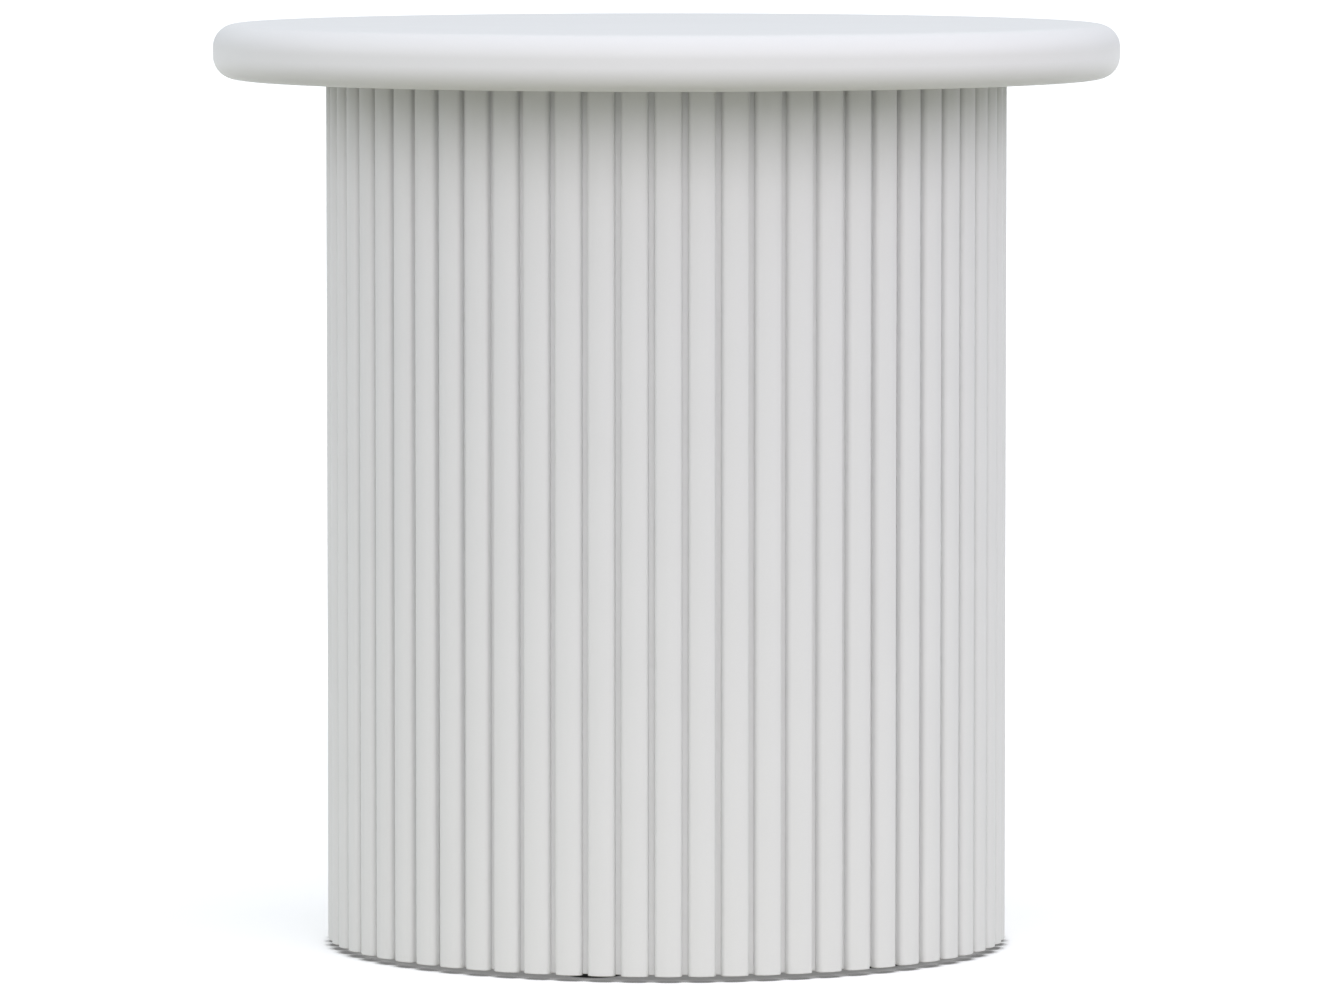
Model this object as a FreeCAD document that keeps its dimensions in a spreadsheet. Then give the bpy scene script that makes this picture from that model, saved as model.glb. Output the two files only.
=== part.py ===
import FreeCAD, Part
import math
import os
import Sketcher

# A patio side table: a round, edge-rounded top on a fluted drum that stands on six levelling feet.
# The origin is on the floor under the middle of the top, +Z points up and the front faces -Y.

# Every size is in millimetres, every angle in degrees counted from +X towards +Y.
DRIVING_SIZES = {
    # The round top: a spun skin over a core board, closed from below by a flat panel.
    "top_diameter": 500,
    "table_height": 509,
    "top_thickness": 30,
    "rim_band_height": 5,
    "rim_lower_rounding": 12.5,
    "skin_wall": 2,
    "skin_lip_width": 12,
    "panel_gap": 0.3,
    "core_gap": 0.3,
    # The base: hollow flutes, D-shaped in section, round a rolled sheet drum.
    "base_diameter": 375.7,
    "flute_sets": 16,
    "flutes_in_set": 4,
    "flute_first_angle": -89.7,
    "flute_depth": 5.85,
    "flute_crown_radius": 14,
    "flute_corner_radius": 3,
    "groove_width": 3.17,
    "flute_wall": 1.2,
    "flute_floor_gap": 3,
    "plug_depth": 5,
    "plug_clearance": 0.1,
    "drum_wall": 1.5,
    "drum_setback": 0.5,
    "flange_width": 45,
    "flange_thickness": 3,
    "hoop_height": 20,
    "hoop_thickness": 3,
    "weld_gap": 0.2,
    # The fixing of the top: bolts from inside the drum into inserts in the core.
    "bolt_count": 6,
    "bolt_first_angle": -74.5,
    "bolt_inset": 26,
    "bolt_diameter": 6,
    "bolt_engagement": 13.4,
    "bolt_head_diameter": 10.5,
    "bolt_head_height": 3.3,
    "bolt_head_rounding": 2.2,
    "bolt_socket_width": 4,
    "bolt_socket_depth": 2,
    "bolt_hole_clearance": 0.3,
    "thread_clearance": 0.1,
    "washer_diameter": 12.5,
    "washer_thickness": 1.6,
    "insert_diameter": 10,
    "insert_flange_diameter": 14,
    "insert_flange_thickness": 1.2,
    "insert_tip_room": 2,
    "insert_clearance": 0.2,
    # The levelling feet: a pad that swivels on the head of a threaded stud.
    "foot_count": 6,
    "foot_first_angle": -104.5,
    "foot_inset": 24.5,
    "foot_clearance": 0.3,
    "pad_diameter": 30,
    "pad_height": 7,
    "pad_rounding": 1.5,
    "pad_sole_thickness": 2,
    "stud_diameter": 8,
    "stud_head_diameter": 13,
    "stud_head_thickness": 2.2,
    "stud_spare_length": 4,
    "stud_tip_chamfer": 1,
    "hexagon_width": 13,
    "hexagon_height": 4,
    "bush_diameter": 16,
    "bush_length": 16,
    "bush_collar_diameter": 22,
    "bush_collar_thickness": 2,
}

FULL_TURN = 360
SIDES_OF_HEXAGON = 6
SAME_PLACE = 1e-9
SHEET_NAME = "sizes"


class Size:
    """A size that keeps its value and its sheet formula together through sums and products."""

    def __init__(self, formula, value):
        self.formula = formula
        self.value = float(value)

    def combined(self, sign, other, value):
        formula = other.formula if isinstance(other, Size) else str(other)
        return Size(f"({self.formula} {sign} {formula})", value)

    def __float__(self):
        return self.value

    def __add__(self, other):
        return self.combined("+", other, self.value + float(other))

    def __sub__(self, other):
        return self.combined("-", other, self.value - float(other))

    def __mul__(self, other):
        return self.combined("*", other, self.value * float(other))

    def __truediv__(self, other):
        return self.combined("/", other, self.value / float(other))


ZERO = Size("0", 0)

doc = FreeCAD.newDocument("patio_side_table")
sheet = doc.addObject("Spreadsheet::Sheet", SHEET_NAME)
for row, (alias, number) in enumerate(DRIVING_SIZES.items(), start=1):
    sheet.set(f"A{row}", alias)
    sheet.set(f"B{row}", str(number))
    sheet.setAlias(f"B{row}", alias)
doc.recompute()

# The sizes as the sheet gives them, each under its alias.
given = {alias: Size(f"{SHEET_NAME}.{alias}", getattr(sheet, alias)) for alias in DRIVING_SIZES}

# Sizes that several pieces share, worked out from the driving ones.
top_radius = given["top_diameter"] / 2
top_underside = given["table_height"] - given["top_thickness"]
rim_upper_rounding = (
    given["top_thickness"] - given["rim_band_height"] - given["rim_lower_rounding"]
)
lip_radius = top_radius - given["rim_lower_rounding"] - given["skin_lip_width"]
panel_top = top_underside + given["skin_wall"]
core_bottom = panel_top + given["core_gap"]

base_radius = given["base_diameter"] / 2
flute_count = given["flute_sets"] * given["flutes_in_set"]
drum_radius = base_radius - given["flute_depth"]
flute_pitch = drum_radius * Size("2 * pi", 2 * math.pi) / flute_count
flute_half_width = (flute_pitch - given["groove_width"]) / 2
drum_bore = drum_radius - given["drum_wall"]
drum_bottom = given["flute_floor_gap"] + given["drum_setback"]
welded_radius = drum_bore - given["weld_gap"]
flange_bore = drum_bore - given["flange_width"]
upper_flange_bottom = top_underside - given["flange_thickness"]

bolt_circle = drum_bore - given["bolt_inset"]
bolt_radius = given["bolt_diameter"] / 2
bolt_hole = bolt_radius + given["bolt_hole_clearance"]
bolt_seat = upper_flange_bottom - given["washer_thickness"]
insert_bore = bolt_radius + given["thread_clearance"]
insert_length = given["bolt_engagement"] + given["insert_tip_room"]

foot_circle = drum_bore - given["foot_inset"]
stud_radius = given["stud_diameter"] / 2
hexagon_bottom = given["pad_height"] + given["foot_clearance"]
hexagon_top = hexagon_bottom + given["hexagon_height"]
bush_bottom = hexagon_top + given["foot_clearance"]
lower_flange_bottom = bush_bottom + given["bush_collar_thickness"]
bush_radius = given["bush_diameter"] / 2

pieces = []
cuts = []


def new_piece(name, bottom=ZERO, angle=None):
    """An empty body that gets its height over the floor and its turn about the table's axis."""
    body = doc.addObject("PartDesign::Body", name)
    body.Label = name
    body.setExpression("Placement.Base.z", bottom.formula)
    if angle is not None:
        body.setExpression("Placement.Rotation.Angle", angle.formula)
    pieces.append(body)
    return body


def origin_part(body, role):
    """The body's own origin plane or axis of that role."""
    return next(item for item in body.Origin.OriginFeatures if item.Role == role)


def new_sketch(body, name, plane, height=None):
    """An empty sketch on one of the body's origin planes, lifted off it if a height is given."""
    sketch = body.newObject("Sketcher::SketchObject", f"{body.Name}_{name}")
    sketch.AttachmentSupport = [(origin_part(body, plane), "")]
    sketch.MapMode = "FlatFace"
    if height is not None:
        sketch.setExpression("AttachmentOffset.Base.z", height.formula)
    return sketch


def bind(sketch, constraint, size):
    """Adds a constraint and ties its value to the sheet."""
    index = sketch.addConstraint(constraint)
    sketch.setExpression(f"Constraints[{index}]", size.formula)


def pin_point(sketch, geometry, point, across, up):
    """Holds a point of the sketch at a place, or on an axis where a coordinate is zero."""
    if across.value:
        bind(sketch, Sketcher.Constraint("DistanceX", -1, 1, geometry, point, across.value), across)
    else:
        sketch.addConstraint(Sketcher.Constraint("PointOnObject", geometry, point, -2))
    if up.value:
        bind(sketch, Sketcher.Constraint("DistanceY", -1, 1, geometry, point, up.value), up)
    else:
        sketch.addConstraint(Sketcher.Constraint("PointOnObject", geometry, point, -1))


def add_circle(sketch, radius, across=ZERO):
    """A circle of that radius whose middle lies on the sketch's horizontal axis."""
    middle = FreeCAD.Vector(across.value, 0, 0)
    circle = sketch.addGeometry(Part.Circle(middle, FreeCAD.Vector(0, 0, 1), radius.value))
    pin_point(sketch, circle, 3, across, ZERO)
    bind(sketch, Sketcher.Constraint("Radius", circle, radius.value), radius)


def add_flute_outline(sketch, inset):
    """The D of a flute, drawn inside its surface: a bow with rounded corners and a flat back."""
    middle = base_radius - given["flute_crown_radius"]
    crown = given["flute_crown_radius"] - inset
    corner = given["flute_corner_radius"] - inset
    side = flute_half_width - inset
    back = drum_radius + inset
    across = side.value - corner.value
    out = math.sqrt((crown.value - corner.value) ** 2 - across**2)
    swing = math.atan2(across, out)
    quarter = math.pi / 2
    upright = FreeCAD.Vector(0, 0, 1)
    crown_circle = Part.Circle(FreeCAD.Vector(middle.value, 0, 0), upright, crown.value)
    bow = sketch.addGeometry(Part.ArcOfCircle(crown_circle, -swing, swing))
    outer = middle.value + out
    left_circle = Part.Circle(FreeCAD.Vector(outer, across, 0), upright, corner.value)
    left_corner = sketch.addGeometry(Part.ArcOfCircle(left_circle, swing, quarter))
    right_circle = Part.Circle(FreeCAD.Vector(outer, -across, 0), upright, corner.value)
    right_corner = sketch.addGeometry(Part.ArcOfCircle(right_circle, -quarter, -swing))
    places = [(outer, side.value), (back.value, side.value)]
    places += [(back.value, -side.value), (outer, -side.value)]
    stops = [FreeCAD.Vector(*place, 0) for place in places]
    left_side, flat_back, right_side = (
        sketch.addGeometry(Part.LineSegment(first, last)) for first, last in zip(stops, stops[1:])
    )
    sketch.addConstraint(Sketcher.Constraint("Tangent", bow, 2, left_corner, 1))
    sketch.addConstraint(Sketcher.Constraint("Tangent", left_corner, 2, left_side, 1))
    sketch.addConstraint(Sketcher.Constraint("Coincident", left_side, 2, flat_back, 1))
    sketch.addConstraint(Sketcher.Constraint("Coincident", flat_back, 2, right_side, 1))
    sketch.addConstraint(Sketcher.Constraint("Tangent", right_side, 2, right_corner, 1))
    sketch.addConstraint(Sketcher.Constraint("Tangent", right_corner, 2, bow, 1))
    sketch.addConstraint(Sketcher.Constraint("Horizontal", left_side))
    sketch.addConstraint(Sketcher.Constraint("Horizontal", right_side))
    sketch.addConstraint(Sketcher.Constraint("Symmetric", flat_back, 1, flat_back, 2, -1))
    sketch.addConstraint(Sketcher.Constraint("Equal", left_corner, right_corner))
    pin_point(sketch, bow, 3, middle, ZERO)
    bind(sketch, Sketcher.Constraint("Radius", bow, crown.value), crown)
    bind(sketch, Sketcher.Constraint("Radius", left_corner, corner.value), corner)
    pin_point(sketch, flat_back, 1, back, side)


def add_hexagon(sketch, width, across):
    """A regular hexagon of a width over its flats, drawn in a construction circle."""
    reach = width / Size("sqrt(3)", math.sqrt(3))
    middle = FreeCAD.Vector(across.value, 0, 0)
    circle = Part.Circle(middle, FreeCAD.Vector(0, 0, 1), reach.value)
    ring = sketch.addGeometry(circle, True)
    steps = range(SIDES_OF_HEXAGON)
    angles = [2 * math.pi * step / SIDES_OF_HEXAGON for step in steps]
    corners = [middle + FreeCAD.Vector(math.cos(a), math.sin(a), 0) * reach.value for a in angles]
    sides = [sketch.addGeometry(Part.LineSegment(corners[i - 1], corners[i])) for i in steps]
    for step, side in enumerate(sides):
        following = sides[(step + 1) % SIDES_OF_HEXAGON]
        sketch.addConstraint(Sketcher.Constraint("Coincident", side, 2, following, 1))
        sketch.addConstraint(Sketcher.Constraint("PointOnObject", side, 2, ring))
        if step:
            sketch.addConstraint(Sketcher.Constraint("Equal", sides[0], side))
    sketch.addConstraint(Sketcher.Constraint("PointOnObject", sides[0], 2, -1))
    pin_point(sketch, ring, 3, across, ZERO)
    bind(sketch, Sketcher.Constraint("Radius", ring, reach.value), reach)


def moved_towards(corner, target, distance):
    """The point at a distance from a corner, along a level or upright edge to the target."""
    places = []
    for here, there in zip(corner, target):
        step = there.value - here.value
        if abs(step) < SAME_PLACE:
            places.append(here)
        elif step > 0:
            places.append(here + distance)
        else:
            places.append(here - distance)
    return tuple(places)


def add_rounding(sketch, first, last, corner, rounding):
    """The arc that rounds a square corner, with the numbers of its start and end points."""
    centre = first + last - corner
    middle = centre + (corner - centre).normalize() * rounding.value
    arc = sketch.addGeometry(Part.Arc(first, middle, last))
    bind(sketch, Sketcher.Constraint("Radius", arc, rounding.value), rounding)
    turns_left = (corner - first).cross(last - corner).z > 0
    return (arc, 1, 2) if turns_left else (arc, 2, 1)


def add_outline(sketch, corners):
    """A closed outline of straight edges; a corner with a third value is rounded to that radius."""
    stops = []
    for index, corner in enumerate(corners):
        place = corner[:2]
        if len(corner) == 2:
            stops.append((place, None))
            continue
        before = corners[index - 1][:2]
        after = corners[(index + 1) % len(corners)][:2]
        stops.append((moved_towards(place, before, corner[2]), corner))
        stops.append((moved_towards(place, after, corner[2]), None))
    edges = []
    for index, (start, rounded) in enumerate(stops):
        end = stops[(index + 1) % len(stops)][0]
        first = FreeCAD.Vector(start[0].value, start[1].value, 0)
        last = FreeCAD.Vector(end[0].value, end[1].value, 0)
        if rounded is None:
            edges.append((sketch.addGeometry(Part.LineSegment(first, last)), 1, 2))
        else:
            corner = FreeCAD.Vector(rounded[0].value, rounded[1].value, 0)
            edges.append(add_rounding(sketch, first, last, corner, rounded[2]))
    for index, (edge, start_end, far_end) in enumerate(edges):
        following, following_start, _ = edges[(index + 1) % len(edges)]
        sketch.addConstraint(
            Sketcher.Constraint("Coincident", edge, far_end, following, following_start)
        )
        pin_point(sketch, edge, start_end, *stops[index][0])


def turned(body, name, corners, centre=ZERO):
    """The outline, in (radius, height) corners, turned a full turn about an upright line."""
    sketch = new_sketch(body, f"{name}_outline", "XZ_Plane")
    add_outline(sketch, [(corner[0] + centre, *corner[1:]) for corner in corners])
    axis = "V_Axis"
    if centre.value:
        low = FreeCAD.Vector(centre.value, 0, 0)
        high = FreeCAD.Vector(centre.value, given["top_thickness"].value, 0)
        line = sketch.addGeometry(Part.LineSegment(low, high), True)
        pin_point(sketch, line, 1, centre, ZERO)
        pin_point(sketch, line, 2, centre, given["top_thickness"])
        axis = "Axis0"
    feature = body.newObject("PartDesign::Revolution", f"{body.Name}_{name}")
    feature.Profile = sketch
    feature.ReferenceAxis = (sketch, [axis])
    feature.Angle = FULL_TURN
    return feature


def raised(body, name, sketch, height):
    """A sketch padded straight up."""
    feature = body.newObject("PartDesign::Pad", f"{body.Name}_{name}")
    feature.Profile = sketch
    feature.setExpression("Length", height.formula)
    return feature


def holes(body, name, radius, circle, depth, height=None):
    """A round hole that goes up from a height, at a distance from the table's axis."""
    sketch = new_sketch(body, f"{name}_sketch", "XY_Plane", height)
    add_circle(sketch, radius, circle)
    feature = body.newObject("PartDesign::Pocket", f"{body.Name}_{name}")
    feature.Profile = sketch
    feature.Reversed = True
    feature.setExpression("Length", depth.formula)
    cuts.append(feature)
    return feature


def hexagon_feature(body, kind, name, width, height, across, bottom):
    """A hexagon drawn at a height, then padded or cut straight up from there."""
    sketch = new_sketch(body, f"{name}_sketch", "XY_Plane", bottom)
    add_hexagon(sketch, width, across)
    feature = body.newObject(f"PartDesign::{kind}", f"{body.Name}_{name}")
    feature.Profile = sketch
    feature.setExpression("Length", height.formula)
    if kind == "Pocket":
        feature.Reversed = True
        cuts.append(feature)
    return feature


def spaced(body, features, count, angle=None):
    """Copies of the features, evenly spaced round the table's axis over an angle."""
    pattern = body.newObject("PartDesign::PolarPattern", f"{body.Name}_pattern")
    pattern.Originals = features
    pattern.Axis = (origin_part(body, "Z_Axis"), [""])
    if angle is None:
        pattern.Angle = FULL_TURN
    else:
        pattern.setExpression("Angle", angle.formula)
    pattern.setExpression("Occurrences", count.formula)
    body.Tip = pattern
    return pattern


def ring_corners(bore, radius, bottom, height):
    """The section of a flat ring."""
    top = bottom + height
    return [(bore, bottom), (radius, bottom), (radius, top), (bore, top)]


def make_top_skin():
    """The spun sheet: flat above, rounded over the rim and turned in to a lip below."""
    wall = given["skin_wall"]
    low = given["rim_lower_rounding"]
    inner = top_radius - wall
    table_top = given["table_height"]
    body = new_piece("top_skin")
    corners = [
        (lip_radius, top_underside),
        (top_radius, top_underside, low),
        (top_radius, table_top, rim_upper_rounding),
        (ZERO, table_top),
        (ZERO, table_top - wall),
        (inner, table_top - wall, rim_upper_rounding - wall),
        (inner, panel_top, low - wall),
        (lip_radius, panel_top),
    ]
    turned(body, "sheet", corners)


def make_top_core():
    """The board that fills the skin, with a stepped blind hole for each threaded insert."""
    gap = given["core_gap"]
    shell = given["skin_wall"] + gap
    low = given["rim_lower_rounding"]
    rim = top_radius - shell
    body = new_piece("top_core", ZERO, given["bolt_first_angle"])
    corners = [
        (ZERO, core_bottom),
        (rim, core_bottom, low - shell),
        (rim, given["table_height"] - shell, rim_upper_rounding - shell),
        (ZERO, given["table_height"] - shell),
    ]
    turned(body, "board", corners)
    clearance = given["insert_clearance"]
    narrow = given["insert_diameter"] / 2 + clearance
    wide = given["insert_flange_diameter"] / 2 + clearance
    deep = insert_length + clearance
    shallow = given["insert_flange_thickness"] + clearance
    bores = holes(body, "bores", narrow, bolt_circle, deep, core_bottom)
    steps = holes(body, "steps", wide, bolt_circle, shallow, core_bottom)
    spaced(body, [bores, steps], given["bolt_count"])


def make_top_panel():
    """The flat panel let into the skin's lip, with a clearance hole for each bolt."""
    body = new_piece("top_underside_panel", top_underside, given["bolt_first_angle"])
    sketch = new_sketch(body, "disc", "XY_Plane")
    add_circle(sketch, lip_radius - given["panel_gap"])
    raised(body, "sheet", sketch, given["skin_wall"])
    hole = holes(body, "holes", bolt_hole, bolt_circle, given["skin_wall"])
    spaced(body, [hole], given["bolt_count"])


def make_inserts():
    """Flanged inserts sunk in the core from below, which the bolts screw into."""
    body = new_piece("threaded_inserts", core_bottom, given["bolt_first_angle"])
    outer = given["insert_diameter"] / 2
    flange = given["insert_flange_diameter"] / 2
    step = given["insert_flange_thickness"]
    corners = [
        (insert_bore, ZERO),
        (flange, ZERO),
        (flange, step),
        (outer, step),
        (outer, insert_length),
        (insert_bore, insert_length),
    ]
    insert = turned(body, "insert", corners, bolt_circle)
    spaced(body, [insert], given["bolt_count"])


def make_bolts():
    """Button-head bolts, put in from inside the drum, with a hexagon socket in the head."""
    body = new_piece("top_bolts", bolt_seat, given["bolt_first_angle"])
    head = given["bolt_head_diameter"] / 2
    head_bottom = ZERO - given["bolt_head_height"]
    shank_top = (
        given["washer_thickness"]
        + given["flange_thickness"]
        + given["skin_wall"]
        + given["core_gap"]
        + given["bolt_engagement"]
    )
    corners = [
        (ZERO, head_bottom),
        (head, head_bottom, given["bolt_head_rounding"]),
        (head, ZERO),
        (bolt_radius, ZERO),
        (bolt_radius, shank_top),
        (ZERO, shank_top),
    ]
    bolt = turned(body, "bolt", corners, bolt_circle)
    width = given["bolt_socket_width"]
    depth = given["bolt_socket_depth"]
    socket = hexagon_feature(body, "Pocket", "socket", width, depth, bolt_circle, head_bottom)
    spaced(body, [bolt, socket], given["bolt_count"])


def make_washers():
    """Flat washers between the bolt heads and the upper flange."""
    body = new_piece("bolt_washers", bolt_seat, given["bolt_first_angle"])
    corners = ring_corners(
        bolt_hole, given["washer_diameter"] / 2, ZERO, given["washer_thickness"]
    )
    washer = turned(body, "washer", corners, bolt_circle)
    spaced(body, [washer], given["bolt_count"])


def make_flange(name, bottom, angle, hole, circle, count):
    """A flat ring inside the drum with evenly spaced holes."""
    body = new_piece(name, bottom, angle)
    thickness = given["flange_thickness"]
    turned(body, "ring", ring_corners(flange_bore, welded_radius, ZERO, thickness))
    spaced(body, [holes(body, "holes", hole, circle, thickness)], count)


def make_drum():
    """The rolled sheet behind the flutes."""
    body = new_piece("drum", drum_bottom)
    sketch = new_sketch(body, "section", "XY_Plane")
    add_circle(sketch, drum_radius)
    add_circle(sketch, drum_bore)
    raised(body, "sheet", sketch, top_underside - drum_bottom)


def make_hoop():
    """A rolled flat bar that keeps the drum round at half its height."""
    middle = (top_underside + drum_bottom) / 2
    body = new_piece("drum_hoop", middle - given["hoop_height"] / 2)
    bore = welded_radius - given["hoop_thickness"]
    turned(body, "bar", ring_corners(bore, welded_radius, ZERO, given["hoop_height"]))


def make_flutes():
    """Sets of hollow D-shaped bars, flat back to the drum, the first one near the front."""
    height = top_underside - given["flute_floor_gap"]
    set_angle = Size(str(FULL_TURN), FULL_TURN) / given["flute_sets"]
    reach = set_angle * (given["flutes_in_set"] - 1) / given["flutes_in_set"]
    for number in range(int(given["flute_sets"].value)):
        angle = set_angle * number + given["flute_first_angle"]
        body = new_piece(f"flutes_{number + 1:02d}", given["flute_floor_gap"], angle)
        sketch = new_sketch(body, "section", "XY_Plane")
        add_flute_outline(sketch, ZERO)
        add_flute_outline(sketch, given["flute_wall"])
        bar = raised(body, "bar", sketch, height)
        spaced(body, [bar], given["flutes_in_set"], reach)


def make_flute_plugs():
    """The plugs that close the flutes' lower ends, one in each."""
    body = new_piece("flute_end_plugs", given["flute_floor_gap"], given["flute_first_angle"])
    sketch = new_sketch(body, "section", "XY_Plane")
    add_flute_outline(sketch, given["flute_wall"] + given["plug_clearance"])
    plug = raised(body, "plug", sketch, given["plug_depth"])
    spaced(body, [plug], flute_count)


def make_foot_bushes():
    """Collared bushes, welded in the lower flange, that the feet screw into."""
    body = new_piece("foot_bushes", bush_bottom, given["foot_first_angle"])
    bore = stud_radius + given["thread_clearance"]
    collar = given["bush_collar_diameter"] / 2
    step = given["bush_collar_thickness"]
    corners = [
        (bore, ZERO),
        (collar, ZERO),
        (collar, step),
        (bush_radius, step),
        (bush_radius, given["bush_length"]),
        (bore, given["bush_length"]),
    ]
    bush = turned(body, "bush", corners, foot_circle)
    spaced(body, [bush], given["foot_count"])


def make_foot_pad(number, angle):
    """A moulded pad with a socket in which the stud's head swivels."""
    clearance = given["foot_clearance"]
    radius = given["pad_diameter"] / 2
    neck = stud_radius + clearance
    head = given["stud_head_diameter"] / 2 + clearance
    floor = given["pad_sole_thickness"]
    ceiling = floor + given["stud_head_thickness"] + clearance * 2
    body = new_piece(f"foot_pad_{number}", ZERO, angle)
    corners = [
        (ZERO, ZERO),
        (radius, ZERO),
        (radius, given["pad_height"], given["pad_rounding"]),
        (neck, given["pad_height"]),
        (neck, ceiling),
        (head, ceiling),
        (head, floor),
        (ZERO, floor),
    ]
    turned(body, "pad", corners, foot_circle)


def make_foot_stud(number, angle):
    """A threaded stud with a swivel head in the pad and a hexagon for the spanner above it."""
    head = given["stud_head_diameter"] / 2
    head_bottom = given["pad_sole_thickness"] + given["foot_clearance"]
    head_top = head_bottom + given["stud_head_thickness"]
    tip = bush_bottom + given["bush_length"] + given["stud_spare_length"]
    chamfer = given["stud_tip_chamfer"]
    body = new_piece(f"foot_stud_{number}", ZERO, angle)
    corners = [
        (ZERO, head_bottom),
        (head, head_bottom),
        (head, head_top),
        (stud_radius, head_top),
        (stud_radius, tip - chamfer),
        (stud_radius - chamfer, tip),
        (ZERO, tip),
    ]
    turned(body, "shank", corners, foot_circle)
    width = given["hexagon_width"]
    height = given["hexagon_height"]
    hexagon_feature(body, "Pad", "hexagon", width, height, foot_circle, hexagon_bottom)


def make_feet():
    step = Size(str(FULL_TURN), FULL_TURN) / given["foot_count"]
    for number in range(int(given["foot_count"].value)):
        angle = given["foot_first_angle"] + step * number
        make_foot_pad(number + 1, angle)
        make_foot_stud(number + 1, angle)


make_top_skin()
make_top_core()
make_top_panel()
make_inserts()
make_bolts()
make_washers()
make_flange(
    "upper_flange",
    upper_flange_bottom,
    given["bolt_first_angle"],
    bolt_hole,
    bolt_circle,
    given["bolt_count"],
)
make_drum()
make_hoop()
make_flutes()
make_flute_plugs()
make_flange(
    "lower_flange",
    lower_flange_bottom,
    given["foot_first_angle"],
    bush_radius + given["weld_gap"],
    foot_circle,
    given["foot_count"],
)
make_foot_bushes()
make_feet()
doc.recompute()

for item in doc.Objects:
    if "Invalid" in item.State or "Error" in item.State:
        raise RuntimeError(f"{item.Name} could not be made: {item.State}")
for cut in cuts:
    if not cut.Shape.Volume < cut.BaseFeature.Shape.Volume:
        raise RuntimeError(f"{cut.Name} cuts nothing")
for piece in pieces:
    if piece.Shape.isNull() or not piece.Shape.isValid():
        raise RuntimeError(f"{piece.Label} has no sound shape")

os.makedirs("parts", exist_ok=True)
for piece in pieces:
    piece.Shape.exportStep(f"parts/{piece.Label}.step")
    box = piece.Shape.optimalBoundingBox()
    print(
        f"{piece.Label}: {len(piece.Shape.Solids)} solids, {piece.Shape.Volume:.0f} mm3, "
        f"z {box.ZMin:.2f} to {box.ZMax:.2f}"
    )
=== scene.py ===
# %% [markdown]
# # A fluted side table for the patio
# The real table is made of aluminium and coated with matt white powder. A thick round top with a
# soft rim is bolted to a drum, and the drum is clad with upright bars, called flutes. Six
# levelling feet under the drum lift it off the floor by a few millimetres.
#
# This lesson dresses a dimensioned model of that table. The model is loaded first and never
# moved. Each visible piece is then worked out again as a smooth surface, at the place that the
# model gives, and gets a finish that is made of nodes alone.

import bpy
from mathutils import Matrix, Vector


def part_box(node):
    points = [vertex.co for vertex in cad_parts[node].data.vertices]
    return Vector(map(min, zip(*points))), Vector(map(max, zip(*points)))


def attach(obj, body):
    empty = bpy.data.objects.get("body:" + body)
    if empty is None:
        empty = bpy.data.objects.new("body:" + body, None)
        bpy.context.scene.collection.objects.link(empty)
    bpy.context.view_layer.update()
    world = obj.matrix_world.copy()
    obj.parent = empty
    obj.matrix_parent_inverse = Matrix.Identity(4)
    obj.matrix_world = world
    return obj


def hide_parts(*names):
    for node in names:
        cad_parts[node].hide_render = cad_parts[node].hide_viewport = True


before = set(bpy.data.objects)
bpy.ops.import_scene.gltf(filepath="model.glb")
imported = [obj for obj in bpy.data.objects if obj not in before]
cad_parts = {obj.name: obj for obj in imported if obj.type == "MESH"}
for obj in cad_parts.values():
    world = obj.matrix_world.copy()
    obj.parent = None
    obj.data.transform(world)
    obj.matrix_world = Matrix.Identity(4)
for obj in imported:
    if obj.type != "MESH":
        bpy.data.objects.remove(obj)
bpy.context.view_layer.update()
print("nodes in the model:", len(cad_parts))

# %% Tools and units
import math

import bmesh
import bpy
import numpy as np

MM = 0.001
FULL_TURN = 2 * math.pi


# %% [markdown]
# ## Reading the places from the model
# A side table like this is drawn with a few levels and radii: the floor, the underside of the
# top, the rim, the face of the drum. They could be typed in again, but a typed number drifts
# away from the model. So every such place is read from the box of the node that it belongs to,
# in millimetres, and only small sizes that a box does not show are written down.

# %% Levels and radii
def box_of(node):
    """The lowest and the highest corner of a node as two numpy arrays, in millimetres."""
    low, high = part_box(node)
    return np.array(low) / MM, np.array(high) / MM


top_low, top_high = box_of("top_skin")
TABLE_HEIGHT = top_high[2]
TOP_UNDERSIDE = top_low[2]
RIM_RADIUS = top_high[0]

drum_low, drum_high = box_of("drum")
DRUM_RADIUS = drum_high[0]
DRUM_BOTTOM = drum_low[2]
DRUM_WALL = 1.5
DRUM_BORE = DRUM_RADIUS - DRUM_WALL

flute_low, _ = box_of("flutes_01")
FLUTE_BOTTOM = flute_low[2]
FLUTE_SETS = sum(name.startswith("flutes_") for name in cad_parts)
FLUTES_IN_SET = 4
print("rim radius", RIM_RADIUS, "drum radius", DRUM_RADIUS, "underside of the top", TOP_UNDERSIDE)


# %% [markdown]
# ## Surfaces as grids
# A turned, extruded or moulded part is a surface with two directions: along its outline, and
# along the path that the outline is carried on. Points are worked out for the whole grid at
# once, and the faces follow from the numbering alone: each face joins a point, its neighbour in
# the row, and the same two in the next row. Modelling by hand would give the same shape, but a
# formula can be read, changed and checked.

# %% Faces of a grid
def grid_faces(rows, columns, close_rows=False, close_columns=True):
    """Four-sided faces of a grid of points, row after row.
    Face (i, j) joins points (i, j), (i, j + 1), (i + 1, j + 1) and (i + 1, j), and a closed
    direction joins its last line of points to its first one."""
    row = np.arange(rows if close_rows else rows - 1)
    column = np.arange(columns if close_columns else columns - 1)
    i, j = np.meshgrid(row, column, indexing="ij")
    below, beside = (i + 1) % rows, (j + 1) % columns
    corners = [i * columns + j, i * columns + beside, below * columns + beside, below * columns + j]
    return np.stack(corners, axis=-1).reshape(-1, 4)


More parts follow.
